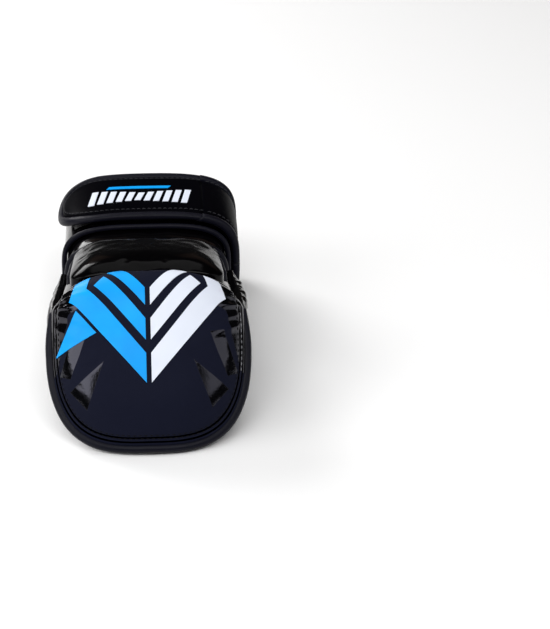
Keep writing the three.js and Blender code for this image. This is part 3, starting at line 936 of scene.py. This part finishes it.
def make_back_piping():
    angle = np.radians(np.linspace(-10, 190, 130))
    x, y = back_place(1.0, angle)
    out = unit(np.stack([x, y - BACK_MIDDLE], axis=-1))
    share = np.linspace(0, 1, len(x))
    tuck = smooth(1 - share / 0.07) + smooth((share - 0.93) / 0.07)  # its ends go down into the shell
    path = on_hand_back(x + out[:, 0] * PIPING_AWAY, y + out[:, 1] * PIPING_AWAY, PIPING_LIFT - 4.5 * tuck)
    along = unit(np.gradient(path, axis=0))
    side = unit(np.cross(along, vec(0.0, 0.0, 1.0)))
    points, faces = tube(path, side, np.cross(side, along), oval(12, PIPING_RADIUS, PIPING_RADIUS))
    return add_mesh("hand_back_edge_piping", points, faces, edge_leather)


back_piping = make_back_piping()
wear(back_piping, "hand", "edging", "hand_back_piping")

# ---------------------------------------------------------------- the side pads
SIDE_LIFT = (0.6, 8.0)
SIDE_DROP = 3.6
SIDE_REAR = box("side_skin_right")[1][1]


def make_side_pad(name, angles, seed):
    u, v, w, faces = block((20, 34, 3))
    angle = mix(angles[0], angles[1], (u + 1) / 2)
    radius, _ = disc(u, v)
    y = mix(hand_front(angle) + 1, SIDE_REAR, (v + 1) / 2)
    high = SIDE_LIFT[1] - SIDE_DROP * radius**6
    points = on_hand(angle, y, mix(SIDE_LIFT[0], high, (w + 1) / 2))
    piece = add_mesh(name, points, faces, gloss, marks={"face": w, "rim": radius, "along": y})
    puff(piece, 4.0, 3.0, sewn(w, radius, 0.95, 0.04), slack=0.02)
    finished(piece)
    points = points_of(piece)
    y, face, rim = marks_of(piece, "along", "face", "rim")
    folds = np.sin((y + 4 * ripple(points, 25, seed)) * (2 * math.pi / 11)) + ripple(points, 12, seed + 1)
    push_out(piece, smooth((face - 0.4) / 0.6) * smooth((1 - rim) / 0.25) * folds * 0.4)
    return piece


for name, cad, angles, seed in (
    ("side_pad_right", "right", (-2, 11), 31),
    ("side_pad_left", "left", (169, 207), 32),
):
    side_pad = make_side_pad(name, angles, seed)
    wear(side_pad, "hand", "gloss_leather", f"side_skin_{cad}", f"side_foam_{cad}")

# ---------------------------------------------------------------- the wrist's surface
CUFF_LOW, CUFF_HIGH = box("cuff_shell")
STRAP_LOW, STRAP_HIGH = box("strap_top_band")
STRAP_BOTTOM = box("strap_under_band")[0][2]
STRAP_OUT = box("strap_side_band")[1][0] - CUFF_HIGH[0]
STRAP_THICK = 3.6
STRAP_IN = STRAP_OUT - STRAP_THICK
WRIST_MIDDLE = (STRAP_HIGH[2] + STRAP_BOTTOM) / 2
WRIST_HALF = (CUFF_HIGH[0], (STRAP_HIGH[2] - STRAP_BOTTOM) / 2 - STRAP_OUT)
WRIST_ROUNDNESS = 3.5


def on_wrist(angle, y, lift):
    turn = np.radians(angle)
    reach = super_radius(turn, WRIST_HALF[0] + lift, WRIST_HALF[1] + lift, WRIST_ROUNDNESS)
    return vec(reach * np.cos(turn), y, WRIST_MIDDLE + reach * np.sin(turn))


def wrist_out(angle, y):
    return unit(on_wrist(angle, y, 1.0) - on_wrist(angle, y, 0.0))


def band_section(front, rear, low, high, across, crown=0.0):
    """A closed section as (y, lift): a flat band with rounded edges, crowned on its outer face."""
    t = np.linspace(-1, 1, across)
    depth = (high - low) / 2
    shape = (1 - np.abs(t) ** 9) ** 0.5
    y = mix(front, rear, (t + 1) / 2)
    outer = (low + high) / 2 + depth * shape + crown * (1 - t * t)
    inner = (low + high) / 2 - depth * shape
    return np.concatenate([np.stack([y, outer], -1), np.stack([y, inner], -1)[-2:0:-1]])


def wrist_sweep(angles, section, bulge=None):
    """Rings of a (y, lift) section at each angle round the wrist."""
    rings = []
    for angle in angles:
        y, lift = section.T
        if bulge:
            lift = lift + bulge(angle, y)
        rings.append(on_wrist(angle, y, lift))
    return sweep(np.array(rings))


def degrees_between(low, high, step):
    return np.linspace(low, high, max(3, int(round((high - low) / step)) + 1))


def wrist_band(name, node, angles, lift, across, step, material):
    """A flat band round the wrist, as wide as a CAD node."""
    low, high = box(node)
    section = band_section(low[1], high[1], *lift, across)
    return add_mesh(name, *wrist_sweep(degrees_between(*angles, step), section), material)


# ---------------------------------------------------------------- the cuff
SLIT = (-72, 248)  # the angles of its two ends, with the slit between them under the wrist
CUFF_WALL = (-4.55, -0.6)
CUFF_LINING_TOP = -2.6
CUFF_EDGE = (2.5, 3.1)
CUFF_EDGE_AWAY = 2.85
CUFF_EDGE_LIFT = 0.8 + CUFF_WALL[0] / 2


def cuff_bulge(angle, y):
    """Soft channels that run round the padded cuff."""
    t = (y - CUFF_LOW[1]) / (CUFF_HIGH[1] - CUFF_LOW[1])
    return 0.5 * np.abs(np.sin(t * 3 * math.pi)) ** 0.6 + 0.25 * np.sin(np.radians(angle) * 9 + y * 0.08)


cuff_section = band_section(CUFF_LOW[1], CUFF_HIGH[1], *CUFF_WALL, 40)
points, faces = wrist_sweep(degrees_between(*SLIT, 3), cuff_section, cuff_bulge)
cuff_lift = np.tile(cuff_section[:, 1], len(points) // len(cuff_section))
cuff = add_mesh("cuff_padded_wall", points, faces, [gloss, lining], under(CUFF_LINING_TOP, cuff_lift, faces))
wear(cuff, "hand", "matte_leather", "cuff_shell", "cuff_padding")


def wrist_roll(name, angles, y, lift, half, seed, uneven=0.04):
    """A bound edge round the wrist, in edge leather."""
    angles = degrees_between(*angles, 2)
    section = oval(16, *half, 2.3)
    wobble = 1 + uneven * ripple(np.stack([angles, angles * 0], -1), 16, seed)
    rings = []
    for angle, k in zip(angles, wobble):
        rings.append(on_wrist(angle, y + section[:, 0] * k, lift + section[:, 1] * k))
    return add_mesh(name, *sweep(np.array(rings)), edge_leather)


for name, node, y in (
    ("cuff_front_edge", "cuff_front_binding", CUFF_LOW[1] - CUFF_EDGE_AWAY),
    ("cuff_rear_edge", "cuff_rear_binding", CUFF_HIGH[1] + CUFF_EDGE_AWAY),
):
    roll = wrist_roll(name, SLIT, y, CUFF_EDGE_LIFT, CUFF_EDGE, 41)
    wear(roll, "hand", "edging", node)

FLAP = (-56, 192)
FLAP_LIFT = (0.35, 1.8)
FLAP_EDGE = (1.8, 1.6)
FLAP_EDGE_Y = box("cuff_flap")[0][1] - 2.2
flap = wrist_band("cuff_closing_flap", "cuff_flap", FLAP, FLAP_LIFT, 24, 3, gloss)
wear(flap, "hand", "gloss_leather", "cuff_flap")
flap_edge = wrist_roll("cuff_flap_edge", FLAP, FLAP_EDGE_Y, 2.1, FLAP_EDGE, 42)
wear(flap_edge, "hand", "edging", "cuff_flap_binding")

PATCH_ANGLES = (48, 152)
PATCH_LIFT = (2.15, 3.25)
patch = wrist_band("loop_tape", "loop_patch", PATCH_ANGLES, PATCH_LIFT, 20, 3, tape)
wear(patch, "hand", "hook_and_loop", "loop_patch")

# ---------------------------------------------------------------- the closing strap
STRAP_FRONT, STRAP_REAR = STRAP_LOW[1], STRAP_HIGH[1]
STRAP_EDGE = (2.9, 2.5)
STRAP_EDGE_AWAY = STRAP_EDGE[0] + 0.35  # from the band's edge to the middle of the bound edge
STRAP_MIDDLE_LIFT = (STRAP_IN + STRAP_OUT) / 2
STITCH_LIFT = STRAP_OUT + 0.25
STITCH_INSET = 3.2
STRAP_CROWN = 0.5
# Angles round the wrist along the strap, from its sewn root to the end of its tail.
ROOT, SIDE_FOLD, SEAM_LOW, SHOULDER_FOLD, SEAM_HIGH, PEEL_FOLD, TAIL_END = -93.8, -32, 0, 32, 43, 128, 155
FOLD_SPREAD = {SIDE_FOLD: (-9, 9), SHOULDER_FOLD: (-1, 10), PEEL_FOLD: (-9, 9)}  # degrees it bends over
TAIL_ROUNDNESS = 2.15
TAIL_MIDDLE = (STRAP_FRONT + STRAP_REAR) / 2
TAIL_HALF = (STRAP_REAR - STRAP_FRONT) / 2


def wear_strap(piece, bodies, fold, slot_name, *nodes):
    """Bakes a strap piece's placement into its mesh, and lets it stand for CAD nodes."""
    start, end = (on_wrist(fold + turn, TAIL_MIDDLE, STRAP_OUT) * MM for turn in FOLD_SPREAD[fold])
    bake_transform(piece)
    if nodes:
        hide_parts(*nodes)


STRAP_BACKING = 3.2  # its lining, down to the cuff
STRAP_UNDERSIDE = STRAP_IN - STRAP_BACKING
strap_section = band_section(STRAP_FRONT, STRAP_REAR, STRAP_UNDERSIDE, STRAP_OUT, 30, STRAP_CROWN)
STRETCHES = (
    # name, name in the CAD, fold, bodies, start, end of its band, end of its stitches
    ("root", "under", SIDE_FOLD, ("hand", "strap_side"), ROOT, SEAM_LOW, SEAM_LOW),
    ("side", "side", SHOULDER_FOLD, ("strap_side", "strap_top"), SEAM_LOW, SEAM_HIGH + 0.4, SEAM_HIGH - 2),
)
for stretch, cad, fold, bodies, start, band_end, _ in STRETCHES:
    band_rings = wrist_sweep(degrees_between(start, band_end, 2), strap_section)
    band = add_mesh(f"strap_{stretch}_leather", *band_rings, strap_leather)
    wear_strap(band, bodies, fold, "matte_leather", f"strap_{cad}_band")
    for edge, y in (("front", STRAP_FRONT - STRAP_EDGE_AWAY), ("rear", STRAP_REAR + STRAP_EDGE_AWAY)):
        name = f"strap_{stretch}_edge_{edge}"
        roll = wrist_roll(name, (start, band_end), y, STRAP_MIDDLE_LIFT, STRAP_EDGE, 51, 0)
        wear_strap(roll, bodies, fold, "edging", f"strap_{cad}_binding_{edge}")


def tail_half(angle):
    """Half the strap's width at an angle: full, then rounded off at the tail."""
    along = np.clip((angle - PEEL_FOLD - 1) / (TAIL_END - PEEL_FOLD - 1), 0, 1)
    along *= 0.995  # keeps a little width at the very end
    return TAIL_HALF * (1 - along**TAIL_ROUNDNESS) ** (1 / TAIL_ROUNDNESS)


def make_strap_top():
    u, v, w, faces = block((60, 26, 2))
    angle = mix(SEAM_HIGH, TAIL_END, (u + 1) / 2)
    y = TAIL_MIDDLE + v * tail_half(angle)
    t = np.abs(v)
    depth = STRAP_THICK / 2 * np.sqrt(1 - np.minimum(t, 1) ** 9) * smooth((TAIL_END - angle) / 1.5 + 0.25)
    lift = STRAP_MIDDLE_LIFT + w * depth + STRAP_CROWN * (1 - t * t) * (w > 0)
    return add_mesh("strap_top_leather", on_wrist(angle, y, lift), faces, strap_leather)


strap_top = make_strap_top()
TOP_BODIES = ("strap_top", "strap_tip")
wear_strap(strap_top, TOP_BODIES, PEEL_FOLD, "matte_leather", "strap_top_band", "strap_tip_band")


DEGREES_PER_MM = 0.86  # round the wrist at the tail


def tail_line(offset):
    """Angle and y along the strap's edge from the seam, round the tail and back, offset outwards."""
    straight = np.linspace(SEAM_HIGH - 0.6, PEEL_FOLD + 1, 39, endpoint=False)
    turn = np.linspace(-math.pi / 2, math.pi / 2, 90)
    along = np.abs(np.cos(turn)) ** (2 / TAIL_ROUNDNESS)
    across = np.sign(turn) * np.abs(np.sin(turn)) ** (2 / TAIL_ROUNDNESS)
    curved_angle = mix(PEEL_FOLD + 1, TAIL_END, along) + np.cos(turn) * offset * DEGREES_PER_MM
    curved_y = TAIL_MIDDLE + TAIL_HALF * across + np.sin(turn) * offset
    angle = np.concatenate([straight, curved_angle, straight[::-1]])
    front, rear = (np.full_like(straight, end) for end in (curved_y[0], curved_y[-1]))
    y = np.concatenate([front, curved_y, rear])
    return angle, y


def make_tail_edge():
    angle, y = tail_line(STRAP_EDGE_AWAY)
    path = on_wrist(angle, y, STRAP_MIDDLE_LIFT)
    out = wrist_out(angle, y)
    along = unit(np.gradient(path, axis=0))
    points, faces = tube(path, unit(np.cross(along, out)), out, oval(16, *STRAP_EDGE, 2.3))
    return add_mesh("strap_top_edge", points, faces, edge_leather)


tail_edge = make_tail_edge()
wear_strap(
    tail_edge, TOP_BODIES, PEEL_FOLD, "edging",
    "strap_top_binding_front", "strap_top_binding_rear", "strap_tip_binding",
)
angle, y = tail_line(-STITCH_INSET)
stitches = stitch_row("strap_top_stitches", on_wrist(angle, y, STITCH_LIFT), wrist_out(angle, y), thread)
wear_strap(stitches, TOP_BODIES, PEEL_FOLD, "edging")
for stretch, _, fold, bodies, start, _, row_end in STRETCHES:
    for edge, y in (("front", STRAP_FRONT + STITCH_INSET), ("rear", STRAP_REAR - STITCH_INSET)):
        angle = degrees_between(start, row_end, 2)
        path, outward = on_wrist(angle, y, STITCH_LIFT), wrist_out(angle, y)
        row = stitch_row(f"strap_{stretch}_stitches_{edge}", path, outward, thread)
        wear_strap(row, bodies, fold, "edging")

HOOK_ANGLES = (136, 150)
HOOK_LIFT = (3.7, 4.85)
hook = wrist_band("hook_tape", "hook_patch", HOOK_ANGLES, HOOK_LIFT, 16, 2, tape)
wear(hook, "strap_tip", "hook_and_loop", "hook_patch")


def on_strap(x, y):
    """x across the wrist on the strap's outer face."""
    lift = STRAP_OUT + 0.45
    inside = 1 - np.abs(x / (WRIST_HALF[0] + lift)) ** WRIST_ROUNDNESS
    height = (WRIST_HALF[1] + lift) * inside ** (1 / WRIST_ROUNDNESS)
    angle = np.degrees(np.arctan2(height, x))
    return on_wrist(angle, y, lift), wrist_out(angle, y)


def add_slanted_bar(name, left, width, front, depth, slant, material):
    rear = front + depth
    outline = [(left, front), (left + width, front), (left + width + slant, rear), (left + slant, rear)]
    wear_strap(print_film(name, outline, material, on_strap, None, 0.3, 1.6), TOP_BODIES, PEEL_FOLD, "edging")


# A generic mark on the strap: slanted bars, longest at the ends of their row, under a thin line.
BARS = 11
BAR_PITCH = 6.0
BAR_WIDTH = 3.9
BAR_SLANT = 3.0
MARK_MIDDLE = -5.0
BAR_LENGTH = 11  # of the middle one
BAR_GROWTH = 1.7  # from each bar to the next one out
for number in range(BARS):
    off = number - (BARS - 1) / 2
    left = MARK_MIDDLE + off * BAR_PITCH - BAR_WIDTH / 2
    reach = BAR_LENGTH + BAR_GROWTH * abs(off)
    low = TAIL_MIDDLE - 5 - reach / 2
    add_slanted_bar(f"strap_bar_{number + 1}", left, BAR_WIDTH, low, reach, BAR_SLANT, white_print)
LINE_LENGTH, LINE_WIDTH = 40, 3.5
line_left = MARK_MIDDLE - LINE_LENGTH / 2
add_slanted_bar("strap_line", line_left, LINE_LENGTH, TAIL_MIDDLE + 7, LINE_WIDTH, 2, blue_print)

# ---------------------------------------------------------------- thumb
THUMB_BASE = joint_place("thumb_swing")
THUMB_TIP = THUMB_BASE + (2.0, -35.0, -2.5)
THUMB_RADII = (13.8, 12.8)
THUMB_WALL = 2.9
THUMB_PAD_LIFT = (0.5, 3.3)
THUMB_MOUTH = 0.93  # where the leather ends and the bound mouth begins, as a share of the length
thumb_along = unit(THUMB_TIP - THUMB_BASE)
thumb_across = unit(np.array([1.0, 0, 0]) - thumb_along * thumb_along[0])
thumb_up = -np.cross(thumb_along, thumb_across)


def on_thumb(turn, share, lift):
    turn, share, lift = np.broadcast_arrays(turn, share, lift)
    reach = mix(THUMB_RADII[0], THUMB_RADII[1], share) + lift
    middle = THUMB_BASE + (THUMB_TIP - THUMB_BASE) * share[..., None]
    across = thumb_across * (reach * np.cos(turn))[..., None]
    return middle + across + thumb_up * (reach * np.sin(turn))[..., None]


def make_thumb():
    turn = np.linspace(0, 2 * math.pi, 56, endpoint=False)
    outer = np.linspace(0, THUMB_MOUTH, 22)
    share = np.concatenate([outer, outer[::-1]])
    lift = np.concatenate([np.zeros_like(outer), np.full_like(outer, -THUMB_WALL)])
    rings = []
    for t in turn:
        crumple = 0.5 * ripple(vec(np.cos(t) * 14, np.sin(t) * 14, share * 35), 9, 61)
        rings.append(on_thumb(t, share, lift + crumple * (lift > -1)))
    points, faces = sweep(np.array(rings), closed_path=True)
    inner = under(-1.4, np.tile(lift, len(turn)), faces)
    return add_mesh("thumb_sleeve_leather", points, faces, [matte, lining], inner)


thumb = make_thumb()
wear(thumb, "thumb", "matte_leather", "thumb_sleeve", "thumb_lining")

turns = np.linspace(0, 2 * math.pi, 48, endpoint=False)
mouth_lift, mouth_share = (oval(12, 1.9, 0.055) + (-1.2, 1)).T
thumb_ring = np.array([on_thumb(turn, mouth_share, mouth_lift) for turn in turns])
thumb_edge = add_mesh("thumb_mouth_edge", *sweep(thumb_ring, closed_path=True), edge_leather)
wear(thumb_edge, "thumb", "edging", "thumb_binding")


def make_thumb_pad():
    u, v, w, faces = block((22, 24, 2))
    radius, _ = disc(u, v)
    high = THUMB_PAD_LIFT[1] * (1 - 0.5 * radius**4)
    lift = mix(THUMB_PAD_LIFT[0], high, (w + 1) / 2)
    points = on_thumb(np.radians(50 * u), mix(0.14, 0.86, (v + 1) / 2), lift)
    piece = add_mesh("thumb_outer_pad", points, faces, gloss, marks={"rim": radius})
    puff(piece, 3.0, 1.5, sewn(w, radius, 0.93, 0.05), slack=0.02)
    return finished(piece)


thumb_pad = make_thumb_pad()
wear(thumb_pad, "thumb", "gloss_leather", "thumb_pad")

# ---------------------------------------------------------------- finger loops, grip bar and the knuckle web
LOOP_RADII = (11.5, 12.9)
LOOP_SPAN = (54, 80)
LOOP_DEPTH = PAD_DEPTH + LOOP_RADII[1] + 0.8
LOOP_HEM = 0.5  # how far the cloth swells at its two hems
for number in range(1, 5):
    low, high = box(f"finger_loop_{number}")
    x = (low[0] + high[0]) / 2
    start, end = (on_pad(0.0, s, -LOOP_DEPTH) for s in LOOP_SPAN)
    along = unit(end - start)
    across = np.array([1.0, 0, 0])
    up = np.cross(across, along)
    sag = x * x / (2 * PAD_CROWN)
    rings = []
    share = np.concatenate([np.linspace(0, 1, 20), np.linspace(1, 0, 20)])
    reach = np.repeat(LOOP_RADII[::-1], 20)
    hem = LOOP_HEM * (np.exp(-(((share - 0.06) / 0.05) ** 2)) + np.exp(-(((share - 0.94) / 0.05) ** 2)))
    for turn in np.linspace(0, 2 * math.pi, 44, endpoint=False):
        out = reach + np.where(reach > 12, hem - 0.3, 0) + 0.25 * np.sin(turn * 5 + share * 9 + number)
        rings.append(
            start + (end - start) * share[:, None] + across * (x + out * math.cos(turn))[:, None]
            + up * (out * math.sin(turn) - sag)[:, None]
        )
    loop = add_mesh(f"finger_loop_cloth_{number}", *sweep(np.array(rings), closed_path=True), lining)
    wear(loop, f"finger_{number}", "textile", f"finger_loop_{number}")

BAR_LOW, BAR_HIGH = box("grip_bar_cover")
bar_middle = (BAR_LOW + BAR_HIGH) / 2
bar_radius = (BAR_HIGH[2] - BAR_LOW[2]) / 2
bar_half = (BAR_HIGH[0] - BAR_LOW[0]) / 2
bar_t = np.linspace(-1, 1, 60)
bar_size = bar_radius * (1 - np.abs(bar_t) ** 14) ** 0.5 * (1 + 0.02 * np.sin(bar_t * 40))
bar_path = bar_middle + np.outer(bar_t * bar_half, (1.0, 0, 0))
bar_turn = np.linspace(0, 2 * math.pi, 28, endpoint=False)
bar_rings = []
for place, radius in zip(bar_path, np.maximum(bar_size, 0.4)):
    bar_rings.append(place + vec(0, radius * np.cos(bar_turn), radius * np.sin(bar_turn)))
bar = add_mesh("grip_bar_leather", *sweep(np.array(bar_rings)), palm_leather)
wear(bar, "hand", "matte_leather", "grip_bar_cover", "grip_bar_core")


WEB_LOW, WEB_HIGH = box("flex_web")
WEB_DROP = 5.2  # its middle, below the knuckle joint
WEB_FOLD = 0.8
WEB_HALF_THICK = 0.7


def make_web():
    """The folded leather between the knuckle pad and the hand."""
    u, v, w, faces = block((40, 14, 1))
    x = u * (WEB_HIGH[0] - 1)
    y = mix(WEB_LOW[1] - 3, WEB_HIGH[1] + 3, (v + 1) / 2)
    fold = WEB_FOLD * np.cos(v * 3 * math.pi)
    z = KNUCKLE[2] - x * x / (2 * PAD_CROWN) - WEB_DROP + fold + w * WEB_HALF_THICK
    return add_mesh("knuckle_fold", vec(x, y, z), faces, gloss)


web = make_web()
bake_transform(web)
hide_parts("flex_web")

# ---------------------------------------------------------------- studio and camera
IMAGE = (550, 629)
FOCAL_PIXELS = 2825
SENSOR = 36.0
CAMERA_DISTANCE = 1.8
ELEVATION = math.radians(28.5)
AIM_OFFSET = (-126.2, 43.0)  # where the frame's origin lies from the image's middle, right and down


def add_camera():
    data = bpy.data.cameras.new("camera")
    data.sensor_width = SENSOR
    data.lens = FOCAL_PIXELS * SENSOR / max(IMAGE)
    data.clip_end = 20
    camera = add_object("camera", data)
    camera.location = CAMERA_DISTANCE * Vector((0, -math.cos(ELEVATION), math.sin(ELEVATION)))
    ray = Vector((AIM_OFFSET[0], -AIM_OFFSET[1], -FOCAL_PIXELS)).normalized()
    down = -math.sin(ELEVATION)
    pitch = math.asin(down / math.hypot(ray.y, ray.z)) - math.atan2(ray.z, ray.y)
    level = ray.y * math.cos(pitch) - ray.z * math.sin(pitch)
    yaw = math.atan2(ray.x, level)
    camera.rotation_euler = (pitch, 0, yaw)
    bpy.context.scene.camera = camera


add_camera()


def add_light(name, place, aim, size, power, colour):
    data = bpy.data.lights.new(name, "AREA")
    data.shape = "RECTANGLE"
    data.size, data.size_y = size
    data.energy = power
    data.color = colour
    light = add_object(name, data)
    light.location = place
    light.rotation_euler = (Vector(aim) - Vector(place)).to_track_quat("-Z", "Y").to_euler()


FLOOR_HALF = 6.0
FLOOR_HEIGHT = -0.0004
corners = [(x * FLOOR_HALF, y * FLOOR_HALF, FLOOR_HEIGHT) for x, y in ((-1, -1), (1, -1), (1, 1), (-1, 1))]
floor_mesh = bpy.data.meshes.new("floor")
floor_mesh.from_pydata(corners, [], [(0, 1, 2, 3)])
floor = add_object("floor", floor_mesh)
floor_material, _, floor_shader = new_material("floor")
set_values(floor_shader, {"Base Color": (0.97, 0.97, 0.97, 1), "Roughness": 0.6, "Specular IOR Level": 0.2})
floor_mesh.materials.append(floor_material)
floor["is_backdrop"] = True

world = bpy.data.worlds.new("studio")
world.use_nodes = True
set_values(world.node_tree.nodes["Background"], {"Color": (1, 1, 1, 1), "Strength": 0.03})
bpy.context.scene.world = world
bpy.context.scene.view_settings.view_transform = "Standard"

GLOVE = (0, 0, 0.04)  # where the lights point
WHITE = (1, 1, 1)
WARM = (1.0, 0.62, 0.45)
LIGHTS = (
    # name, place, size, power, colour
    ("key_left", (-0.95, 1.2, 1.0), (0.8, 0.8), 20, WHITE),
    ("front", (0, -1.0, 1.32), (2.0, 0.7), 18, WHITE),
    ("side_left", (-1.3, -0.5, 0.75), (1.0, 0.9), 11, WHITE),
    ("side_right", (1.3, -0.5, 0.75), (1.0, 0.9), 4, WHITE),
    ("top_fill", (0, 0.3, 2.0), (1.6, 1.6), 9, WHITE),
    ("warm_card_left", (-0.8, 1.6, 0.95), (1.2, 0.8), 0.4, WARM),
    ("warm_card_right", (0.8, 1.6, 0.95), (1.2, 0.8), 0.4, WARM),
)
for name, place, size, power, colour in LIGHTS:
    add_light(name, place, GLOVE, size, power, colour)

# ---------------------------------------------------------------- sizes and the end
low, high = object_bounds()
